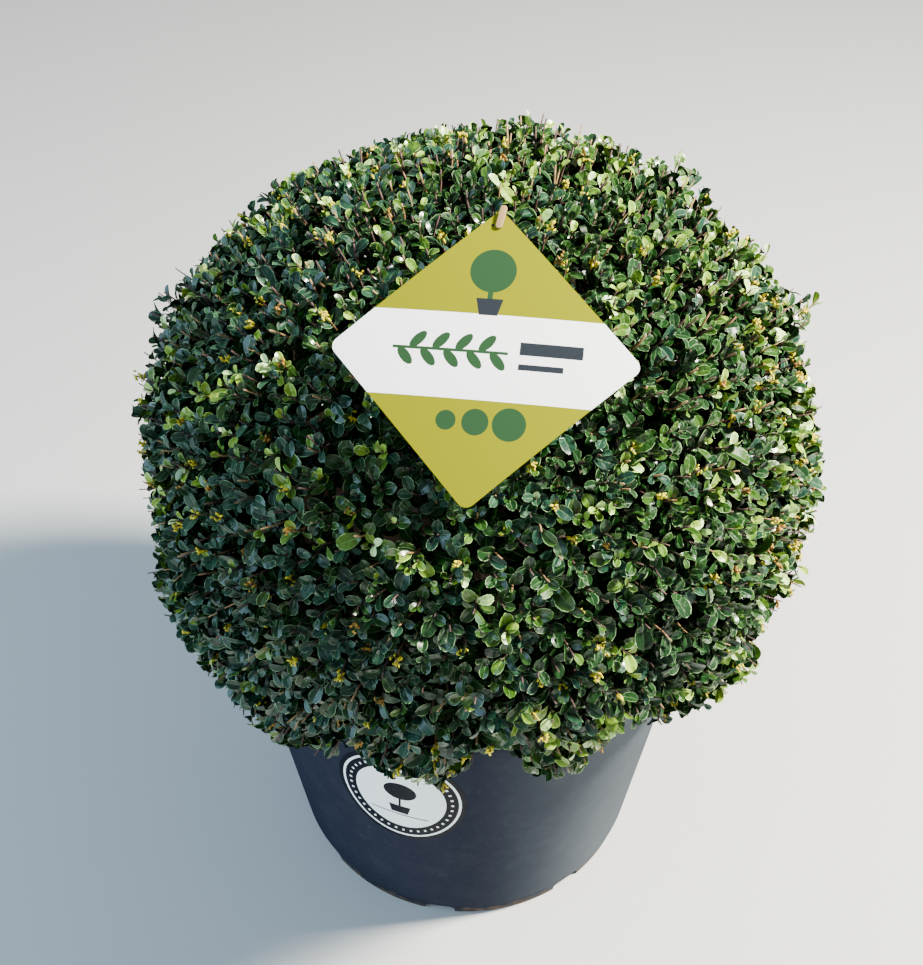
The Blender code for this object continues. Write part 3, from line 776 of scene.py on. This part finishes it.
def drainCutter():
    shape = bmesh.new()
    for index in range(pot["drains"]):
        made = bmesh.ops.create_cube(shape, size=1)["verts"]
        bmesh.ops.scale(shape, vec=(0.04, pot["drainWidth"], pot["drainHeight"] * 2), verts=made)
        across = [edge for edge in {edge for vert in made for edge in vert.link_edges}
                  if abs(edge.verts[0].co.x - edge.verts[1].co.x) > 0.02]
        bevelled = bmesh.ops.bevel(shape, geom=across, offset=pot["drainHeight"] * 0.6,
                                   segments=6, profile=0.5, affect="EDGES", material=-1)
        made = list({vert for face in bevelled["faces"] for vert in face.verts})
        angle = pot["firstDrain"] + index * math.tau / pot["drains"]
        bmesh.ops.translate(shape, vec=(pot["baseRadius"], 0, 0), verts=made)
        bmesh.ops.rotate(shape, cent=(0, 0, 0), matrix=Matrix.Rotation(angle, 3, "Z"),
                         verts=made)
    return meshFromBmesh("drains", shape)


def potFinish():
    finish = Finish("potPlastic", Specular_IOR_Level=0.0)
    place = finish.place()
    cloud = finish.noise(place, 6.0, 3.0, 0.5)
    dust = finish.step(finish.noise(place, 28.0, 8.0, 0.80), 0.44, 0.76)
    speck = finish.step(finish.noise(place, 420.0, 1.0), 0.70, 0.76)
    colour = finish.blend(cloud, (0.0190, 0.0225, 0.0350), (0.0235, 0.0275, 0.0420))
    side, deep, height = finish.split(place)
    # painted sun glare: the front's right half, where the key light falls, is painted paler; it
    # fades out again towards the back
    paintedGlare = finish.step(side, -0.01, 0.21) * finish.step(deep, -0.19, 0.05, 1.0, 0.12)
    paintedGlare = paintedGlare * finish.step(cloud, 0.2, 0.8, 0.80, 1.0)
    colour = finish.blend(paintedGlare, colour, (0.108, 0.124, 0.141))
    # real dust, laid on thicker inside the painted glare, which lightens it further
    dustAndGlare = dust * (0.05 + paintedGlare * 0.10)
    colour = finish.blend(dustAndGlare.most(speck * 0.16), colour, (0.20, 0.22, 0.25))
    soiled = finish.step(height, 0.0, 0.035, 1.0, 0.0) * finish.noise(place, 60.0, 5.0, 0.75)
    colour = finish.blend(finish.step(soiled, 0.30, 0.55) * 0.75, colour, (0.13, 0.095, 0.065))
    rough = finish.step(finish.noise(place, 14.0, 4.0, 0.6), 0.3, 0.7, 0.50, 0.60)
    finish.use(Base_Color=colour, Roughness=rough)
    finish.bump(finish.noise(place, 520.0, 2.0), 0.15, 0.0005)
    return finish.material


potShell = addPiece("potShell", potMesh(), potFinish(), "pot_plastic", "pot")
cutterMesh = drainCutter()
cutter = bpy.data.objects.new("drainCutter", cutterMesh)
bpy.context.scene.collection.objects.link(cutter)
cut = potShell.modifiers.new("drains", "BOOLEAN")
cut.operation = "DIFFERENCE"
cut.object = cutter
bpy.context.view_layer.update()
cutPot = bpy.data.meshes.new_from_object(potShell.evaluated_get(
    bpy.context.evaluated_depsgraph_get()))
potShell.modifiers.clear()
potShell.data = cutPot
bpy.data.objects.remove(cutter)
print("pot done", len(cutPot.polygons))


# soil keeps its solid
soilFinish = Finish("pottingSoil", Roughness=0.95)
crumbs = soilFinish.noise(soilFinish.place(), 160.0, 5.0, 0.65)
soilFinish.use(Base_Color=soilFinish.blend(crumbs, (0.012, 0.008, 0.005), (0.075, 0.050, 0.032)))
soilFinish.bump(crumbs, 0.8, 0.004)
soilMesh = bpy.data.objects["soil"].data
soilMesh.materials.clear()
soilMesh.materials.append(soilFinish.material)


# short trunk under the ball, with low ridges and warts in its bark
trunk = {
    "foot": 0.3853,
    "top": 0.520,
    # share of the height, radius, share of the lean
    "stations": ((0.0, 0.0285, 0.0), (0.10, 0.0236, 0.0), (0.26, 0.0184, 0.10),
                 (0.55, 0.0165, 0.45), (0.85, 0.0145, 1.0), (1.0, 0.0142, 1.0)),
    "sides": 72,
    "rings": 56,
    "ridges": 9,
    "ridgeHeight": 0.0005,
    "roots": 5,
    "rootHeight": 0.0012,
    "warts": 220,
    "wartHeight": 0.0007,
    "wartSize": 0.0017,
}


def trunkMesh(rng):
    sides, rings = trunk["sides"], trunk["rings"]
    share = np.linspace(0, 1, rings)[:, None]
    turn = np.arange(sides)[None] * math.tau / sides
    places, radii, leans = np.array(trunk["stations"]).T
    radius = np.interp(share, places, radii)
    height = trunk["foot"] + (trunk["top"] - trunk["foot"]) * share
    wander = 0.5 * np.sin(share * 6.0) + 0.2 * np.sin(share * 17.0)
    relief = trunk["ridgeHeight"] * np.sin(trunk["ridges"] * (turn + wander))
    relief += trunk["rootHeight"] * np.exp(-share / 0.10) * np.sin(trunk["roots"] * turn + 1)
    for wartShare, wartTurn in zip(rng.random(trunk["warts"]),
                                   rng.uniform(0, math.tau, trunk["warts"])):
        up = (share - wartShare) * (trunk["top"] - trunk["foot"])
        aside = ((turn - wartTurn + math.pi) % math.tau - math.pi) * radius
        apart = (up * 1.6) ** 2 + aside ** 2
        relief += trunk["wartHeight"] * np.exp(-apart / trunk["wartSize"] ** 2)
    out = radius + relief
    lean = np.interp(share, places, leans) * crown["lean"]
    points = np.stack([lean + out * np.cos(turn), out * np.sin(turn),
                       height + 0 * turn], axis=-1).reshape(-1, 3)
    return meshFromArrays("trunk", points, tubeFaces(sides, rings))


addPiece("trunk", trunkMesh(rng), stemBark, "bark", "stem")


# hang tag: plain bands of white and yellow, with a simple sprig
tag = {
    "thickness": 0.0008,
    "corner": 0.008,
    "curl": 0.0025,
}


def tagMesh():
    shape = bmesh.new()
    bmesh.ops.create_grid(shape, x_segments=16, y_segments=16, size=tagSpot["side"] / 2)
    corners = [vert for vert in shape.verts if len(vert.link_faces) == 1]
    bmesh.ops.bevel(shape, geom=corners, offset=tag["corner"], segments=6, profile=0.5,
                    affect="VERTICES", material=-1)
    layer = shape.loops.layers.uv.new("cardPlace")
    for face in shape.faces:
        for loop in face.loops:
            loop[layer].uv = (loop.vert.co.x / tagSpot["side"], loop.vert.co.y / tagSpot["side"])
    half = tagSpot["side"] / 2
    flat = 2 * (half - tagSpot["holeInset"]) ** 2  # the peg's place stays where it is
    for vert in shape.verts:
        vert.co.z = tag["curl"] * (flat - vert.co.x ** 2 - vert.co.y ** 2) / half ** 2
    bmesh.ops.solidify(shape, geom=shape.faces[:], thickness=tag["thickness"])
    bmesh.ops.transform(shape, matrix=tagFrame(), verts=shape.verts)
    bmesh.ops.recalc_face_normals(shape, faces=shape.faces)
    return meshFromBmesh("tagCard", shape, 40)


def tagFinish():
    finish = Finish("tagCard", Specular_IOR_Level=0.12)
    across, along, _ = finish.split(finish.node("ShaderNodeUVMap", {"uv_map": "cardPlace"}))
    rise = (across + along) * 0.7071      # towards the hanging corner
    side = (across - along) * 0.7071
    yellow = rise.above(0.19).most(rise.below(-0.21))
    colour = finish.blend(yellow, (0.92, 0.94, 0.95), (0.190, 0.188, 0.0))
    # a leafy sprig and plain bars in the band, a round bush in the upper corner
    sprig = abs(rise - 0.012).below(0.007) * abs(side + 0.15).below(0.26)
    for number in range(9):
        tilt = 0.85 if number % 2 else -0.85
        there = side + 0.35 - number * 0.052
        up = rise - (0.052 if number % 2 else -0.028)
        first = there * math.cos(tilt) + up * math.sin(tilt)
        second = up * math.cos(tilt) - there * math.sin(tilt)
        sprig = sprig.most(disc(first, second, 0.0, 0.0, 0.050, 0.023))
    bush = disc(side, rise, 0.0, 0.40, 0.105, 0.105)
    trunk = abs(side).below(0.012) * abs(rise - 0.28).below(0.05)
    colour = finish.blend(sprig.most(bush).most(trunk), colour, (0.020, 0.055, 0.022))
    tub = abs(rise - 0.225).below(0.040) * abs(side).below(rise * 0.25 - 0.005)
    bars = abs(rise - 0.040).below(0.030) * abs(side - 0.30).below(0.14)
    bars = bars.most(abs(rise + 0.045).below(0.014) * abs(side - 0.26).below(0.10))
    row = disc(side, rise, -0.13, -0.31, 0.045, 0.045).most(
        disc(side, rise, 0.0, -0.31, 0.060, 0.060)).most(
        disc(side, rise, 0.15, -0.31, 0.075, 0.075))
    colour = finish.blend(row, colour, (0.020, 0.055, 0.022))
    colour = finish.blend(tub.most(bars), colour, (0.018, 0.022, 0.028))
    eyelet = disc(side, rise, -0.031, 0.626, 0.0075, 0.0075)
    colour = finish.blend(eyelet, colour, (0.02, 0.02, 0.015))
    fibre = finish.noise(finish.place(), 220.0, 2.0)
    return finish.use(Base_Color=colour, Roughness=finish.step(fibre, 0.3, 0.7, 0.26, 0.36))


addPiece("tagCard", tagMesh(), tagFinish(), "tag_card", "tag")


# peg: a pin through the card with a flat tongue that stands out past the corner
peg = {
    "radius": 0.0021,
    "length": 0.040,
    "width": 0.0058,
    "thickness": 0.0016,
    "below": 0.0035,
    "above": 0.0170,
    "corner": 0.0027,
    "turn": math.radians(-53),
}


def pegMesh():
    shape = bmesh.new()
    soft = peg["corner"]
    right, top, bottom = peg["width"] / 2 - soft, peg["above"] - soft, soft - peg["below"]
    low = 0.0009
    outline = []
    for x, y, start in ((right, top, 0), (-right, top, 90), (-right, bottom, 180),
                        (right, bottom, 270)):
        for step in range(0, 91, 15):
            angle = math.radians(start + step)
            outline.append((x + soft * math.cos(angle), y + soft * math.sin(angle), low))
    under = shape.faces.new([shape.verts.new(place) for place in outline])
    grown = bmesh.ops.extrude_face_region(shape, geom=[under])["geom"]
    raised = [item for item in grown if isinstance(item, bmesh.types.BMVert)]
    bmesh.ops.translate(shape, vec=(0, 0, peg["thickness"]), verts=raised)
    edges = [edge for edge in shape.edges if all(vert in raised for vert in edge.verts)]
    bmesh.ops.bevel(shape, geom=edges, offset=0.0005, segments=3, profile=0.5,
                    affect="EDGES", material=-1)
    pin = bmesh.ops.create_cone(shape, cap_ends=True, segments=24, depth=peg["length"],
                                radius1=peg["radius"] * 0.8, radius2=peg["radius"])["verts"]
    bmesh.ops.translate(shape, vec=(0, 0, low - peg["length"] / 2), verts=pin)
    inset = tagSpot["side"] / 2 - tagSpot["holeInset"]
    place = tagFrame() @ Matrix.Translation((inset, inset, 0)) @ Matrix.Rotation(
        peg["turn"], 4, "Z")
    bmesh.ops.transform(shape, matrix=place, verts=shape.verts)
    bmesh.ops.recalc_face_normals(shape, faces=shape.faces)
    return meshFromBmesh("tagPeg", shape, 35)


def pegFinish():
    finish = Finish("pegWood", Roughness=0.6)
    grain = finish.noise(finish.place(), 300.0, 3.0)
    streak = finish.step(finish.noise(finish.place(), 900.0, 2.0), 0.45, 0.75)
    colour = finish.blend(grain, (0.25, 0.140, 0.050), (0.40, 0.255, 0.100))
    return finish.use(Base_Color=finish.blend(streak * 0.5, colour, (0.24, 0.12, 0.055)))


addPiece("tagPeg", pegMesh(), pegFinish(), "peg_wood", "tag_peg")
print("tag done")


# oval label on the pot's front: rings, a band of dots and a small plant sign
label = {
    "angle": math.radians(-107.0),
    "height": 0.294,
    "halfWide": 0.0738,
    "halfTall": 0.0961,
    "tilt": math.radians(-4.2),
    "thickness": 0.0003,
    "rings": (0.925, 0.885, 0.70),  # white line outside and inside, then the pale field
    "dots": 40,
}


def labelMesh():
    shape = bmesh.new()
    bmesh.ops.create_circle(shape, cap_ends=True, segments=96, radius=1)
    inner = shape.faces[:]
    for ring in range(9):
        bmesh.ops.inset_region(shape, faces=inner, thickness=0.1, use_boundary=True,
                               use_even_offset=True)
    bmesh.ops.poke(shape, faces=inner)
    layer = shape.loops.layers.uv.new("labelPlace")
    for face in shape.faces:
        for loop in face.loops:
            loop[layer].uv = loop.vert.co.xy
    walls = bmesh.ops.extrude_face_region(shape, geom=shape.faces[:])
    raised = {vert for vert in walls["geom"] if isinstance(vert, bmesh.types.BMVert)}
    middle = potRadius(label["height"])
    for vert in shape.verts:
        flat = Vector((vert.co.x * label["halfWide"], vert.co.y * label["halfTall"]))
        flat.rotate(Matrix.Rotation(label["tilt"], 2))
        height = label["height"] + flat.y
        radius = potRadius(height) + (label["thickness"] if vert in raised else -0.0002)
        angle = label["angle"] + flat.x / middle
        vert.co = (radius * math.cos(angle), radius * math.sin(angle), height)
    bmesh.ops.recalc_face_normals(shape, faces=shape.faces)
    return meshFromBmesh("potLabel", shape, 40)


def labelFinish():
    finish = Finish("labelFilm", Specular_IOR_Level=0.02)
    across, along, _ = finish.split(finish.node("ShaderNodeUVMap", {"uv_map": "labelPlace"}))
    out = (across * across + along * along).power(0.5)
    ringOut, ringIn, field = label["rings"]
    turn = along.combine("ARCTAN2", along, across) * (label["dots"] / math.tau)
    fromDot = abs(turn.combine("FRACT", turn) - 0.5)
    dots = fromDot.below(0.15) * abs(out - (ringIn + field) / 2).below(0.020)
    pale = out.below(field).most(out.above(ringIn) * out.below(ringOut)).most(dots)
    ball = disc(across, along, 0.0, 0.17, 0.25, 0.19)
    stem = abs(across).below(0.018) * abs(along + 0.08).below(0.10)
    tub = abs(along + 0.27).below(0.09) * abs(across).below(along * 0.22 + 0.21)
    ground = abs(along + 0.40).below(0.011) * abs(across).below(0.46)
    sign = ball.most(tub).most(stem).most(ground)
    wear = finish.noise(finish.place(), 150.0, 3.0)
    colour = finish.blend(finish.step(wear, 0.3, 0.8), (0.94, 1.0, 1.0), (0.88, 0.97, 0.98))
    colour = finish.blend(pale * (1 - sign), (0.004, 0.005, 0.010), colour)
    return finish.use(Base_Color=colour, Roughness=finish.step(wear, 0.3, 0.7, 0.28, 0.42))


addPiece("potLabel", labelMesh(), labelFinish(), "tag_card")
print("label done")


# floor, light and camera
lights = {
    # place, width, power, colour
    "key": ((1.98, -0.08, 2.66), 0.40, 575, (1.0, 0.955, 0.83)),
    "fill": ((-2.6, -0.8, 1.5), 2.2, 104, (0.45, 0.74, 1.0)),
    "aim": (0, 0, 0.5),
    "sky": (0.82, 0.91, 1),
    "skyStrength": 0.53,
}


def addFloor():
    shape = bmesh.new()
    bmesh.ops.create_grid(shape, x_segments=1, y_segments=1, size=12)
    floor = bpy.data.objects.new("floor", meshFromBmesh("floor", shape))
    bpy.context.scene.collection.objects.link(floor)
    finish = Finish("floorPaper", Roughness=0.9)
    tone = finish.noise(finish.place(), 0.5, 1.0)
    floor.data.materials.append(finish.use(
        Base_Color=finish.blend(tone, (0.525, 0.525, 0.525), (0.545, 0.545, 0.545))))


def addLight(name, place, size, energy, colour):
    lamp = bpy.data.lights.new(name, "AREA")
    lamp.size = size
    lamp.energy = energy
    lamp.color = colour
    holder = bpy.data.objects.new(name, lamp)
    bpy.context.scene.collection.objects.link(holder)
    holder.location = place
    towards = Vector(lights["aim"]) - Vector(place)
    holder.rotation_euler = towards.to_track_quat("-Z", "Y").to_euler()


addFloor()
for name in ("key", "fill"):
    addLight(name, *lights[name])
world = bpy.data.worlds.new("studio")
bpy.context.scene.world = world
world.use_nodes = True
background = world.node_tree.nodes["Background"]
background.inputs["Color"].default_value = (*lights["sky"], 1)
background.inputs["Strength"].default_value = lights["skyStrength"]

view = {
    "place": (-0.006, -1.0297, 1.5264),
    "down": math.radians(43.8),
    "lens": 49.1,
}
cameraData = bpy.data.cameras.new("camera")
cameraData.lens = view["lens"]
cameraData.sensor_width = 36
camera = bpy.data.objects.new("camera", cameraData)
bpy.context.scene.collection.objects.link(camera)
camera.location = view["place"]
camera.rotation_euler = (math.pi / 2 - view["down"], 0, 0)
bpy.context.scene.camera = camera
